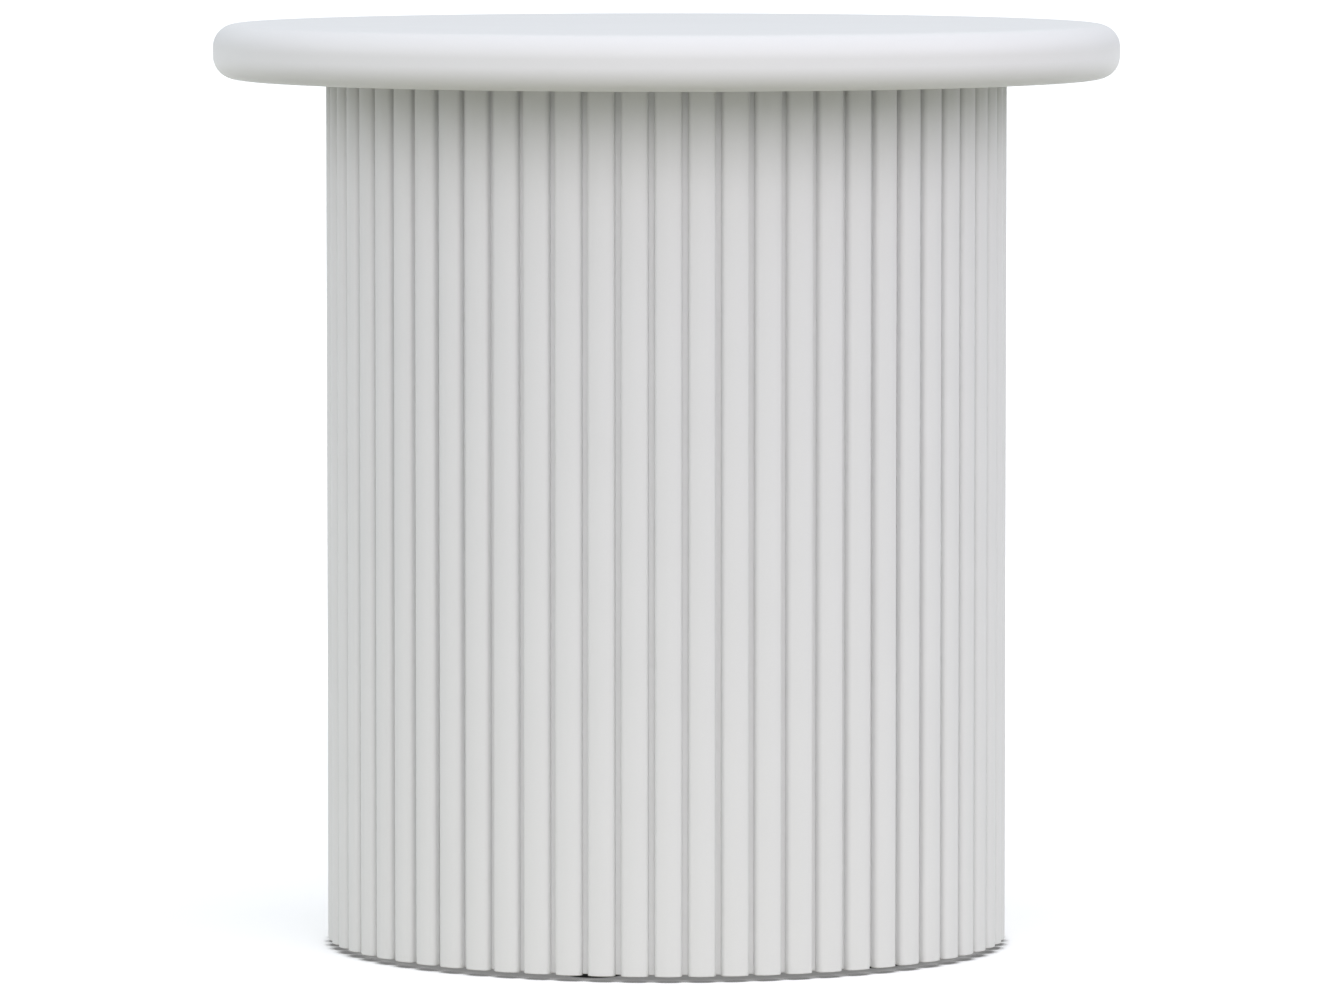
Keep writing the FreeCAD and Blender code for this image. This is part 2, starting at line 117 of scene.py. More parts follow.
def joined(surfaces):
    """Several surfaces as one: their points in a row, and their faces renumbered to suit."""
    counts = [len(points) for points, faces in surfaces]
    starts = np.concatenate([[0], np.cumsum(counts)[:-1]])
    points = np.concatenate([points for points, faces in surfaces])
    faces = np.concatenate([faces + start for (_, faces), start in zip(surfaces, starts)])
    return points, faces


def spread(surface, turns):
    """Copies of a surface, one for each turn about the table's axis, as one surface.
    A point (x, y) goes to x * (cos a, sin a) + y * (-sin a, cos a) at turn a."""
    points, faces = surface
    x, y, z = points.T
    a = np.atleast_1d(turns)[:, None]
    across = np.cos(a) * x - np.sin(a) * y
    along = np.sin(a) * x + np.cos(a) * y
    copies = np.stack([across, along, np.broadcast_to(z, across.shape)], axis=-1)
    return joined([(copy, faces) for copy in copies])


def evenly(count, first_degrees=0.0):
    """Turns for a number of copies that are evenly spaced round the table, from a first angle."""
    return math.radians(first_degrees) + FULL_TURN * np.arange(count) / count


print("a grid of 3 rows and 4 columns has", len(grid_faces(3, 4)), "faces round a tube")


# %% [markdown]
# ## Outlines with soft corners
# Sheet metal, mouldings and machined parts have no knife edges: every corner has a radius, and
# that radius is what catches the light. So an outline is written as its corners, each with its
# rounding, and the arcs are worked out. A point just before and just after each arc keeps the
# flats beside it flat when the surface is shaded smooth.

# %% Rounded outlines
LEAD = 0.15


def rounded(corners, closed=False, steps=4):
    """Corners (across, up, rounding) as a line of points, all in millimetres.
    An arc touches both sides of its corner: its centre lies on the line that halves the corner,
    rounding / sin(half the corner) away, and its points turn evenly from one side to the other."""
    line = np.array([[across, up] for across, up, _ in corners], dtype=float)
    made = []
    for number, (_, _, rounding) in enumerate(corners):
        here = line[number]
        at_end = number in (0, len(corners) - 1) and not closed
        if at_end or not rounding:
            made.append(here[None])
            continue
        back = line[number - 1] - here
        ahead = line[(number + 1) % len(corners)] - here
        back /= np.linalg.norm(back)
        ahead /= np.linalg.norm(ahead)
        half = math.acos(np.clip(back @ ahead, -1, 1)) / 2
        reach = rounding / math.tan(half)
        middle = (back + ahead) / np.linalg.norm(back + ahead)
        centre = here + middle * rounding / math.sin(half)
        start, end = here + back * reach - centre, here + ahead * reach - centre
        share = np.linspace(0, 1, steps + 1)[:, None]
        swing = math.pi - 2 * half
        arc = (np.sin((1 - share) * swing) * start + np.sin(share * swing) * end) / math.sin(swing)
        first = here + back * (reach + LEAD)
        last = here + ahead * (reach + LEAD)
        made.append(np.concatenate([first[None], centre + arc, last[None]]))
    return np.concatenate(made)


def turned(profile, steps, out=0.0, closed=False):
    """A profile of (radius, height) points carried round an upright axis at a distance out.
    Point (i, j) is (out + radius_i * cos a_j, radius_i * sin a_j) at height_i, and a_j is a full
    turn * j / steps. Millimetres go in, metres come out."""
    turn = np.arange(steps) * FULL_TURN / steps
    radius, height = np.asarray(profile, dtype=float).T
    across = out + np.outer(radius, np.cos(turn))
    along = np.outer(radius, np.sin(turn))
    up = np.outer(height, np.ones(steps))
    points = np.stack([across, along, up], axis=-1).reshape(-1, 3) * MM
    return points, grid_faces(len(radius), steps, close_rows=closed)


print("points on one rounded corner:", len(rounded([(0, 0, 0), (9, 0, 2), (9, 9, 0)])))


# %% [markdown]
# ## From points to a piece
# A mesh needs more than points and faces before it is a finished piece. Points that meet at an
# axis or a seam are merged, so that the skin is closed. The faces must look outwards, and the
# volume says whether they do: it comes out below zero on a skin that is inside out. Then the
# piece is shaded smooth except over real edges, gets its finish, and rides on its body.

# %% Making a piece
TOUCHING = 0.001 * MM
EDGE_ANGLE = math.radians(38)


def volume_of(points, faces):
    """The volume inside closed faces: a sixth of the sum, over all triangles, of the first
    corner dotted with the cross product of the other two."""
    a, b, c, d = (points[faces[:, k]] for k in range(4))
    first = np.einsum("ij,ij->i", a, np.cross(b, c))
    second = np.einsum("ij,ij->i", a, np.cross(c, d))
    return (first.sum() + second.sum()) / 6


def make_piece(name, surface, finish, stands_for=(), body="table"):
    """One smooth object from a surface, in the finish given, that stands for the model's nodes."""
    points, faces = surface
    if volume_of(points, faces) < 0:
        faces = faces[:, ::-1]
    mesh = bpy.data.meshes.new(name)
    mesh.from_pydata(points.tolist(), [], faces.tolist())
    work = bmesh.new()
    work.from_mesh(mesh)
    bmesh.ops.remove_doubles(work, verts=work.verts, dist=TOUCHING)
    work.to_mesh(mesh)
    work.free()
    mesh.shade_smooth()
    mesh.set_sharp_from_angle(angle=EDGE_ANGLE)
    mesh.materials.append(finish)
    piece = bpy.data.objects.new(name, mesh)
    bpy.context.scene.collection.objects.link(piece)
    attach(piece, body)
    if stands_for:
        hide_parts(*stands_for)
    print(name, "has", len(mesh.polygons), "faces")


# %% [markdown]
# ## Powder coat
# Powder is sprayed on dry and melts into one skin. It never lies like glass: under a raking
# light the surface is a fine orange peel, the film is a little thicker here and thinner there,
# and the sheen follows that. A photo texture could show it, but would have a size and a seam.
# Layers of noise in the object's own space have neither, so they go into a group that any
# coated piece can use with its own values.

# %% Helpers for nodes
def new_node(tree, kind, **settings):
    """A node in a tree, with its plain settings filled in."""
    node = tree.nodes.new(kind)
    for setting, value in settings.items():
        setattr(node, setting, value)
    return node


def math_node(tree, operation, first, second):
    """A Math node whose two inputs are numbers or sockets, and its result."""
    node = new_node(tree, "ShaderNodeMath", operation=operation)
    for socket, value in zip(node.inputs, (first, second)):
        if isinstance(value, (int, float)):
            socket.default_value = value
        else:
            tree.links.new(value, socket)
    return node.outputs[0]


def mix_node(tree, share, first, second):
    """The first colour mixed towards the second by a share. A colour is a socket, or red, green
    and blue from 0 to 1."""
    node = new_node(tree, "ShaderNodeMix", data_type="RGBA")
    tree.links.new(share, node.inputs[0])
    for socket, colour in zip((node.inputs[6], node.inputs[7]), (first, second)):
        if isinstance(colour, tuple):
            socket.default_value = (*colour, 1)
        else:
            tree.links.new(colour, socket)
    return node.outputs[2]


def noise(tree, place, size, detail=2.0):
    """Soft noise with blots of about the given size in metres."""
    node = new_node(tree, "ShaderNodeTexNoise")
    node.inputs["Scale"].default_value = 1 / size
    node.inputs["Detail"].default_value = detail
    tree.links.new(place, node.inputs["Vector"])
    return node.outputs["Fac"]


def stretched(tree, place, scale):
    """A place scaled along X, Y and Z, so that noise is drawn out where the scale is small."""
    node = new_node(tree, "ShaderNodeMapping")
    node.inputs["Scale"].default_value = scale
    tree.links.new(place, node.inputs["Vector"])
    return node.outputs[0]


print("blots of 1 mm need a noise scale of", 1 / MM)

# %% A finish as a group
NUMBER = "NodeSocketFloat"
COLOUR = "NodeSocketColor"
FINISH = {"Color": COLOUR, "Roughness": NUMBER, "Height": NUMBER}


def new_group(name, inputs):
    """A node group for a finish, and the sockets of its inputs (name, kind, value)."""
    group = bpy.data.node_groups.new(name, "ShaderNodeTree")
    for label, kind, value in inputs:
        socket = group.interface.new_socket(name=label, in_out="INPUT", socket_type=kind)
        socket.default_value = value
    for label, kind in FINISH.items():
        group.interface.new_socket(name=label, in_out="OUTPUT", socket_type=kind)
    return group, new_node(group, "NodeGroupInput").outputs


def put_out(group, colour, roughness, height):
    """Wires what a finish group puts out."""
    result = new_node(group, "NodeGroupOutput")
    for label, socket in zip(FINISH, (colour, roughness, height)):
        group.links.new(socket, result.inputs[label])


print("a finish group puts out:", list(FINISH))

# %% The coat's texture as a group
FILM_SIZE = 45 * MM
PEEL_SIZE = 1.1 * MM
GRAIN_SIZE = 0.35 * MM
FILM_SHARE = 0.55
PEEL_SHARE = 0.45
GRAIN_SHARE = 0.35
NOISE_MIDDLE = 0.5


def make_coat_group():
    """Colour, roughness and height of a powder coat, from three sizes of noise.
    Colour is the tone mixed towards a thin tone by the film noise and the peel together."""
    group, given = new_group(
        "Powder coat",
        [
            ("Tone", COLOUR, (0.8, 0.8, 0.8, 1)),
            ("Thin tone", COLOUR, (0.74, 0.74, 0.73, 1)),
            ("Mottle", NUMBER, 0.5),
            ("Sheen spread", NUMBER, 0.08),
            ("Roughness", NUMBER, 0.5),
        ],
    )
    place = new_node(group, "ShaderNodeTexCoord").outputs["Object"]
    film = noise(group, place, FILM_SIZE, detail=3)
    peel = noise(group, place, PEEL_SIZE, detail=2)
    grain = noise(group, place, GRAIN_SIZE, detail=1)
    thin = math_node(group, "MULTIPLY", film, FILM_SHARE)
    speck = math_node(group, "MULTIPLY", peel, PEEL_SHARE)
    both = math_node(group, "ADD", thin, speck)
    share = math_node(group, "MULTIPLY", both, given["Mottle"])
    colour = mix_node(group, share, given["Tone"], given["Thin tone"])
    uneven = math_node(group, "SUBTRACT", film, NOISE_MIDDLE)
    swing = math_node(group, "MULTIPLY", uneven, given["Sheen spread"])
    sheen = math_node(group, "ADD", given["Roughness"], swing)
    fine = math_node(group, "MULTIPLY", grain, GRAIN_SHARE)
    put_out(group, colour, sheen, math_node(group, "ADD", peel, fine))
    return group


coat_group = make_coat_group()
print("sockets of the group:", [item.name for item in coat_group.interface.items_tree])


# %% Materials from a group
def new_material(name):
    """An empty node material with its shader and output, ready to be wired."""
    material = bpy.data.materials.new(name)
    material.use_nodes = True
    tree = material.node_tree
    tree.nodes.clear()
    shader = new_node(tree, "ShaderNodeBsdfPrincipled")
    output = new_node(tree, "ShaderNodeOutputMaterial")
    tree.links.new(shader.outputs[0], output.inputs["Surface"])
    return material, tree, shader


def add_bump(tree, shader, height, depth):
    """A Bump node that raises the surface by up to the given depth in metres."""
    bump = new_node(tree, "ShaderNodeBump")
    bump.inputs["Distance"].default_value = depth
    bump.inputs["Strength"].default_value = 1.0
    tree.links.new(height, bump.inputs["Height"])
    tree.links.new(bump.outputs[0], shader.inputs["Normal"])


def material_from(group, name, depth, metallic=0.0, **values):
    """A material with the colour, the roughness and the height that a finish group puts out.
    The height raises the surface by up to a depth in metres. Each value goes to the group's
    input of that name, thin_tone to "Thin tone" and so on."""
    material, tree, shader = new_material(name)
    shader.inputs["Metallic"].default_value = metallic
    finish = new_node(tree, "ShaderNodeGroup", node_tree=group)
    for label, value in values.items():
        socket = finish.inputs[label.capitalize().replace("_", " ")]
        socket.default_value = (*value, 1) if isinstance(value, tuple) else value
    tree.links.new(finish.outputs["Color"], shader.inputs["Base Color"])
    tree.links.new(finish.outputs["Roughness"], shader.inputs["Roughness"])
    add_bump(tree, shader, finish.outputs["Height"], depth)
    return material


# Painted light: the top's coat is set lighter than the flutes', though both are one white powder.
# The coat inside the drum is set darker and more mottled.
top_coat = material_from(
    coat_group, "White coat on the top", depth=0.012 * MM,
    tone=(0.85, 0.85, 0.85), thin_tone=(0.805, 0.805, 0.805), mottle=0.7, roughness=0.46,
)
flute_coat = material_from(
    coat_group, "White coat on the flutes", depth=0.016 * MM,
    tone=(0.81, 0.81, 0.81), thin_tone=(0.76, 0.76, 0.76), mottle=0.8, roughness=0.52,
)
frame_coat = material_from(
    coat_group, "White coat inside the drum", depth=0.02 * MM,
    tone=(0.79, 0.79, 0.79), thin_tone=(0.70, 0.70, 0.69), mottle=0.9, roughness=0.58,
)
print("coats:", top_coat.name, "/", flute_coat.name, "/", frame_coat.name)

# %% [markdown]
# ## The round top
# The top of the real table is one spun sheet: flat above, rolled over a soft rim and turned in
# underneath to a narrow lip. It could be a cylinder with bevelled edges, but then the rim would
# be solid and the lip underneath would be missing. So the section of the sheet is drawn, with
# its 2 mm wall and a short upright band between the two roundings, and turned round the middle.

# %% The spun top
UPPER_ROUNDING = 12.5
LOWER_ROUNDING = 12.5
SKIN_WALL = 2.0
LIP_RADIUS = 225.5
LIP_SOFTNESS = 0.5
RIM_STEPS = 18
TOP_STEPS = 288

top_section = rounded(
    [
        (0, TABLE_HEIGHT, 0),
        (RIM_RADIUS, TABLE_HEIGHT, UPPER_ROUNDING),
        (RIM_RADIUS, TOP_UNDERSIDE, LOWER_ROUNDING),
        (LIP_RADIUS, TOP_UNDERSIDE, LIP_SOFTNESS),
        (LIP_RADIUS, TOP_UNDERSIDE + SKIN_WALL, LIP_SOFTNESS),
        (RIM_RADIUS - SKIN_WALL, TOP_UNDERSIDE + SKIN_WALL, LOWER_ROUNDING - SKIN_WALL),
        (RIM_RADIUS - SKIN_WALL, TABLE_HEIGHT - SKIN_WALL, UPPER_ROUNDING - SKIN_WALL),
        (0, TABLE_HEIGHT - SKIN_WALL, 0),
    ],
    steps=RIM_STEPS,
)
make_piece("round_top", turned(top_section, TOP_STEPS), top_coat, ["top_skin"])


# %% [markdown]
# ## Sheets with holes
# Under the top lies a flat panel, and inside the drum are two flat rings. All three are cut from
# sheet and have six round holes. Holes could be cut with a Boolean, which leaves long thin faces
# and hard edges. Here the sheet is divided like a cake, into slices with a hole and plain slices
# between them. The lines of a pierced slice run from the edge of the hole to the border of the
# slice. The same lines go on down through the hole and back below, so the edge of the hole is
# soft.

# %% Slices of a sheet
ARC_STEPS = 24
SIDE_STEPS = 8


def slice_outline(inner, outer, slices):
    """The border of one slice of a ring, once round: outer arc, side, inner arc, side."""
    half = math.pi / slices
    sweep = np.linspace(-half, half, ARC_STEPS, endpoint=False)
    along = np.linspace(0, 1, SIDE_STEPS, endpoint=False)
    side = np.full(SIDE_STEPS, half)
    radius = np.concatenate([
        np.full(ARC_STEPS, outer),
        outer + along * (inner - outer),
        np.full(ARC_STEPS, inner),
        inner + along * (outer - inner),
    ])
    angle = np.concatenate([sweep, side, -sweep, -side])
    return np.stack([radius * np.cos(angle), radius * np.sin(angle)], axis=-1)


def plain_slice(inner, outer, slices, low, high):
    """Both faces of a slice without a hole. Point (i, j) is at radius_i and angle_j, which divide
    the sides and the arcs just as the border of a pierced slice does."""
    half = math.pi / slices
    radius = np.linspace(outer, inner, SIDE_STEPS + 1)
    angle = np.linspace(-half, half, ARC_STEPS + 1)
    across, along = np.outer(radius, np.cos(angle)), np.outer(radius, np.sin(angle))
    faces = grid_faces(len(radius), len(angle), close_columns=False)
    sides = []
    for level, facing in ((low, faces), (high, faces[:, ::-1])):
        points = np.stack([across, along, np.full_like(across, level)], axis=-1)
        sides.append((points.reshape(-1, 3) * MM, facing))
    return joined(sides)


print("points round one slice:", len(slice_outline(100.0, 150.0, 6)))

# %% The pierced sheet
SHEET_SOFTNESS = 0.3


def rim_strip(radius, inwards, low, high):
    """The rounded edge of a sheet at a radius; inwards is 1 for an outer edge, -1 for a bore."""
    soft = SHEET_SOFTNESS
    flat = radius - inwards * (soft + LEAD)
    return rounded([(flat, low, 0), (radius, low, soft), (radius, high, soft), (flat, high, 0)])


def pierced_sheet(inner, outer, circle, hole, count, low, high):
    """A flat ring from a low to a high level with evenly spaced holes on a circle.
    Point (i, j) of a slice lies on the line from the middle of the hole to point j of the
    border: at radius_i and height_i near the hole, and on the border in the first and last row."""
    trim = SHEET_SOFTNESS + LEAD
    slices = 2 * count
    inside, outside = inner + trim if inner else 0.0, outer - trim
    border = slice_outline(inside, outside, slices)
    away = border - [circle, 0]
    direction = away / np.linalg.norm(away, axis=-1, keepdims=True)
    edge = rim_strip(hole, -1, low, high)
    ring = [circle, 0] + edge[:, :1, None] * direction
    places = np.concatenate([border[None], ring, border[None]])
    levels = np.concatenate([[low], edge[:, 1], [high]])
    heights = np.broadcast_to(levels[:, None, None], places.shape[:2] + (1,))
    points = np.concatenate([places, heights], axis=-1).reshape(-1, 3) * MM
    pierced = spread((points, grid_faces(len(levels), len(border))), evenly(count))
    plain = spread(plain_slice(inside, outside, slices, low, high), evenly(count, 180 / count))
    edge_steps = slices * ARC_STEPS
    parts = [pierced, plain, turned(rim_strip(outer, 1, low, high)[::-1], edge_steps)]
    if inner:
        parts.append(turned(rim_strip(inner, -1, low, high), edge_steps))
    return joined(parts)


print("points over the edge of a 3 mm sheet:", len(rim_strip(100.0, 1, 0.0, 3.0)))

# %% The panel under the top
BOLT_COUNT = 6
BOLT_FIRST = -74.5
BOLT_CIRCLE = 154.5
BOLT_HOLE = 3.3
PANEL_GAP = 0.3

panel_low, panel_high = box_of("top_underside_panel")
bolt_turns = evenly(BOLT_COUNT, BOLT_FIRST)
panel = pierced_sheet(
    0.0, LIP_RADIUS - PANEL_GAP, BOLT_CIRCLE, BOLT_HOLE, BOLT_COUNT, panel_low[2], panel_high[2]
)
panel = spread(panel, bolt_turns[0])
make_piece("underside_panel", panel, top_coat, ["top_underside_panel"])

# %% [markdown]
# ## The flutes
# Each flute is a hollow bar, a D in section: a gently bowed face with rounded corners, short
# straight sides, and a flat back on the drum. A half circle would be simpler, but its face would
# go dark too soon towards the grooves. All of them are alike, so one D is worked out and carried
# up its height, and the copies are turned round the drum. The lower edge is the one that shows,
# just above the floor, so it is eased a little, as a sawn and brushed end is.

# %% The D section
FLUTE_DEPTH = 5.85
FLUTE_WIDTH = 14.7
BOW_RADIUS = 14.0
CORNER_RADIUS = 3.0
FLUTE_WALL = 1.2
FLUTE_FIRST = -89.7


def flute_outline(inset, bow_steps):
    """The D outline, inset by a distance: points (outwards, sideways) round the closed line.
    The face is an arc about a point on the middle line, each corner is an arc that touches it
    and the side, and the direction of the line turns evenly along all three. An inset takes the
    same length off every radius, leaves the centres where they are, and stops at the back."""
    middle = DRUM_RADIUS + FLUTE_DEPTH - BOW_RADIUS
    side = FLUTE_WIDTH / 2 - CORNER_RADIUS
    corner = middle + math.sqrt((BOW_RADIUS - CORNER_RADIUS) ** 2 - side**2)
    change = math.atan2(side, corner - middle)
    swing = np.linspace(-math.pi / 2, math.pi / 2, bow_steps + 1)
    in_corner = np.abs(swing) > change
    radius = np.where(in_corner, CORNER_RADIUS, BOW_RADIUS) - inset
    outwards = np.where(in_corner, corner, middle) + radius * np.cos(swing)
    sideways = np.where(in_corner, np.sign(swing) * side, 0.0) + radius * np.sin(swing)
    half, back = FLUTE_WIDTH / 2 - inset, DRUM_RADIUS + inset
    lead = corner - LEAD
    ends = [(lead, half), (back, half), (back, 0), (back, -half), (lead, -half)]
    outline = np.concatenate([np.stack([outwards, sideways], axis=-1), ends])
    outline[:, 0] = np.maximum(outline[:, 0], back)
    return outline


def stacked(outlines, heights, closed=False):
    """Flat outlines at their heights, joined into one surface: point (i, j) is point j of
    outline i, at height i. Millimetres go in, metres come out."""
    outlines = np.stack(outlines)
    levels = np.asarray(heights, dtype=float)[:, None, None]
    levels = np.broadcast_to(levels, outlines.shape[:2] + (1,))
    points = np.concatenate([outlines, levels], axis=-1).reshape(-1, 3) * MM
    return points, grid_faces(len(heights), outlines.shape[1], close_rows=closed)


print("points round the D:", len(flute_outline(0.0, 32)))

# %% The fluted cladding
EASED_EDGE = 0.35
EASE_STEPS = 3
BOW_STEPS = 34

ease = np.linspace(0, math.pi / 2, EASE_STEPS + 1)
ease_inset = EASED_EDGE * (1 - np.sin(ease))
ease_height = FLUTE_BOTTOM + EASED_EDGE * (1 - np.cos(ease))
bar_insets = [FLUTE_WALL, EASED_EDGE + LEAD, *ease_inset, 0.0, 0.0, FLUTE_WALL]
bar_heights = [FLUTE_BOTTOM, FLUTE_BOTTOM, *ease_height]
bar_heights += [FLUTE_BOTTOM + EASED_EDGE + LEAD, TOP_UNDERSIDE, TOP_UNDERSIDE]
bar = stacked([flute_outline(inset, BOW_STEPS) for inset in bar_insets], bar_heights, closed=True)
flute_turns = evenly(FLUTE_SETS * FLUTES_IN_SET, FLUTE_FIRST).reshape(FLUTE_SETS, FLUTES_IN_SET)
for number, turns in enumerate(flute_turns, start=1):
    name, node = f"fluting_{number:02d}", f"flutes_{number:02d}"
    make_piece(name, spread(bar, turns), flute_coat, [node])


# %% [markdown]
# ## Moulded plastic
# Two kinds of plastic are on this table: pale plugs that close the lower ends of the flutes, and
# black nylon pads under the feet. Moulded plastic has a fine grain from the eroded mould and a
# slow change of tone where it cooled unevenly. One plain colour would look like paint, so both
# are noise again, at the scale of the mould, in a group that the two plastics share.

# %% The moulded finish
MOULD_GRAIN = 0.4 * MM
MOULD_CLOUD = 9 * MM
MOULD_SHEEN = 0.15


def make_mould_group():
    """Colour, roughness and height of moulded plastic: a fine spark-eroded grain, with a slow
    change of tone through it."""
    group, given = new_group(
        "Moulded plastic",
        [
            ("Tone", COLOUR, (0.5, 0.5, 0.5, 1)),
            ("Worn tone", COLOUR, (0.45, 0.45, 0.45, 1)),
            ("Roughness", NUMBER, 0.45),
        ],
    )
    place = new_node(group, "ShaderNodeTexCoord").outputs["Object"]
    grain = noise(group, place, MOULD_GRAIN, detail=3)
    cloud = noise(group, place, MOULD_CLOUD, detail=2)
    colour = mix_node(group, cloud, given["Tone"], given["Worn tone"])
    dulled = math_node(group, "MULTIPLY", grain, MOULD_SHEEN)
    put_out(group, colour, math_node(group, "ADD", dulled, given["Roughness"]), grain)
    return group


mould_group = make_mould_group()
black_nylon = material_from(
    mould_group, "Black nylon", depth=0.03 * MM,
    tone=(0.018, 0.018, 0.019), worn_tone=(0.03, 0.03, 0.03), roughness=0.45,
)
pale_plastic = material_from(
    mould_group, "Pale polyethylene", depth=0.02 * MM,
    tone=(0.74, 0.74, 0.73), worn_tone=(0.66, 0.66, 0.64), roughness=0.4,
)
print("plastics:", black_nylon.name, "/", pale_plastic.name)

# %% The plugs in the flutes
PLUG_INSET = 1.3
PLUG_LIP = 0.7
PLUG_INNER = 1.1
PLUG_RECESS = 1.2
PLUG_SOFTNESS = 0.15
PLUG_CORNER = 0.2
PLUG_BOW_STEPS = 20

plug_low, plug_high = box_of("flute_end_plugs")
plug_profile = rounded(
    [
        (PLUG_INSET + PLUG_INNER, plug_low[2] + PLUG_RECESS, 0),
        (PLUG_INSET + PLUG_LIP, plug_low[2] + PLUG_RECESS, PLUG_CORNER),
        (PLUG_INSET + PLUG_LIP, plug_low[2], PLUG_SOFTNESS),
        (PLUG_INSET, plug_low[2], PLUG_SOFTNESS),
        (PLUG_INSET, plug_high[2], PLUG_SOFTNESS),
        (PLUG_INSET + PLUG_INNER, plug_high[2], 0),
    ],
    steps=2,
)
plug_rings = [flute_outline(inset, PLUG_BOW_STEPS) for inset in plug_profile[:, 0]]
plug_middle = np.tile([DRUM_RADIUS + FLUTE_DEPTH / 2, 0.0], (len(plug_rings[0]), 1))
plug_rings = [plug_middle, *plug_rings, plug_middle]
plug_heights = [plug_profile[0, 1], *plug_profile[:, 1], plug_profile[-1, 1]]
plugs = spread(stacked(plug_rings, plug_heights), flute_turns.ravel())
make_piece("flute_plugs", plugs, pale_plastic, ["flute_end_plugs"])

# %% [markdown]
# ## The drum behind the flutes
# Between two flutes a narrow strip of the rolled drum shows, and from below one looks right up
# inside it. It is a thin sheet rolled to a ring, so its section is a tall narrow loop, turned
# round the middle. The flat bar that stiffens it halfway up is made the same way.

# %% Drum and hoop
RING_STEPS = 256
HOOP_THICKNESS = 3.0
HOOP_SOFTNESS = 0.5


def ring_section(inner, outer, low, high, softness):
    """The four-cornered section of a ring, each corner eased by the softness."""
    corners = [(inner, low), (outer, low), (outer, high), (inner, high)]
    return rounded([(*corner, softness) for corner in corners], closed=True, steps=3)


drum_section = ring_section(DRUM_BORE, DRUM_RADIUS, DRUM_BOTTOM, TOP_UNDERSIDE, SHEET_SOFTNESS)
drum = turned(drum_section, RING_STEPS, closed=True)
make_piece("rolled_drum", drum, flute_coat, ["drum"])

hoop_low, hoop_high = box_of("drum_hoop")
hoop_outer = hoop_high[0]
hoop_section = ring_section(
    hoop_outer - HOOP_THICKNESS, hoop_outer, hoop_low[2], hoop_high[2], HOOP_SOFTNESS
)
hoop = turned(hoop_section, RING_STEPS, closed=True)
make_piece("stiffening_hoop", hoop, frame_coat, ["drum_hoop"])

# %% [markdown]
# ## The frame inside the drum
# Two flat rings close the drum to a stiff frame: the upper one takes the bolts of the top, the
# lower one the bushes of the feet. They are sheets with holes, like the panel. Short welds hold
# them in the drum. A weld is a row of small overlapping ripples that ends in a soft point, so it
# is a tube that follows the corner, with a radius that waves along it and closes at both ends.

# %% The two flanges
FLANGE_BORE = 135.5
FEET = 6
FOOT_FIRST = -104.5
FOOT_CIRCLE = 156.0
BUSH_HOLE = 8.2

foot_turns = evenly(FEET, FOOT_FIRST)
upper_low, upper_high = box_of("upper_flange")
FLANGE_RADIUS = upper_high[0]
upper_ring = pierced_sheet(
    FLANGE_BORE, FLANGE_RADIUS, BOLT_CIRCLE, BOLT_HOLE, BOLT_COUNT, upper_low[2], upper_high[2]
)
upper_ring = spread(upper_ring, bolt_turns[0])
make_piece("upper_ring", upper_ring, frame_coat, ["upper_flange"])

lower_low, lower_high = box_of("lower_flange")
lower_ring = pierced_sheet(
    FLANGE_BORE, FLANGE_RADIUS, FOOT_CIRCLE, BUSH_HOLE, FEET, lower_low[2], lower_high[2]
)
lower_ring = spread(lower_ring, foot_turns[0])
make_piece("lower_ring", lower_ring, frame_coat, ["lower_flange"])

# %% The welds
WELDS = 12
WELD_FIRST = 5.0
WELD_LENGTH = 24.0
WELD_RADIUS = 1.7
WELD_SINK = 0.4
RIPPLE_LENGTH = 1.5
RIPPLE_SHARE = 0.07
WELD_ROWS = 65
WELD_SIDES = 10


def weld_bead(level):
    """A bead in the corner between the drum and the underside of a ring at a level.
    Point (i, j) is on a circle about a line close to the corner. The circle's radius is the
    weld's radius times the root of (1 - share^4), with ripples of a few percent, and share goes
    from -1 at one end of the weld to 1 at the other."""
    share = np.sin(np.linspace(-math.pi / 2, math.pi / 2, WELD_ROWS))[:, None]
    along = share * WELD_LENGTH / 2
    ripple = 1 + RIPPLE_SHARE * np.abs(np.sin(math.pi * along / RIPPLE_LENGTH))
    radius = WELD_RADIUS * np.sqrt(np.clip(1 - share**4, 0, 1)) * ripple
    turn = np.arange(WELD_SIDES) * FULL_TURN / WELD_SIDES
    out = DRUM_BORE - WELD_SINK + radius * np.cos(turn)
    up = level - WELD_SINK + radius * np.sin(turn)
    angle = along / DRUM_BORE
    points = np.stack([out * np.cos(angle), out * np.sin(angle), up], axis=-1)
    return points.reshape(-1, 3) * MM, grid_faces(len(share), len(turn))


beads = joined([weld_bead(lower_low[2]), weld_bead(upper_low[2])])
make_piece("ring_welds", spread(beads, evenly(WELDS, WELD_FIRST)), frame_coat)

# %% The bushes for the feet
BUSH_BORE = 4.1
BUSH_RADIUS = 8.0
COLLAR_RADIUS = 11.0
COLLAR_HEIGHT = 2.0
COLLAR_EDGE = 0.4
COLLAR_STEP = 0.25
BUSH_EDGE = 0.5
BORE_CHAMFER = 0.6
TOOL_CORNER = 0.1
BROKEN_EDGE = 0.15
SMALL_STEPS = 48

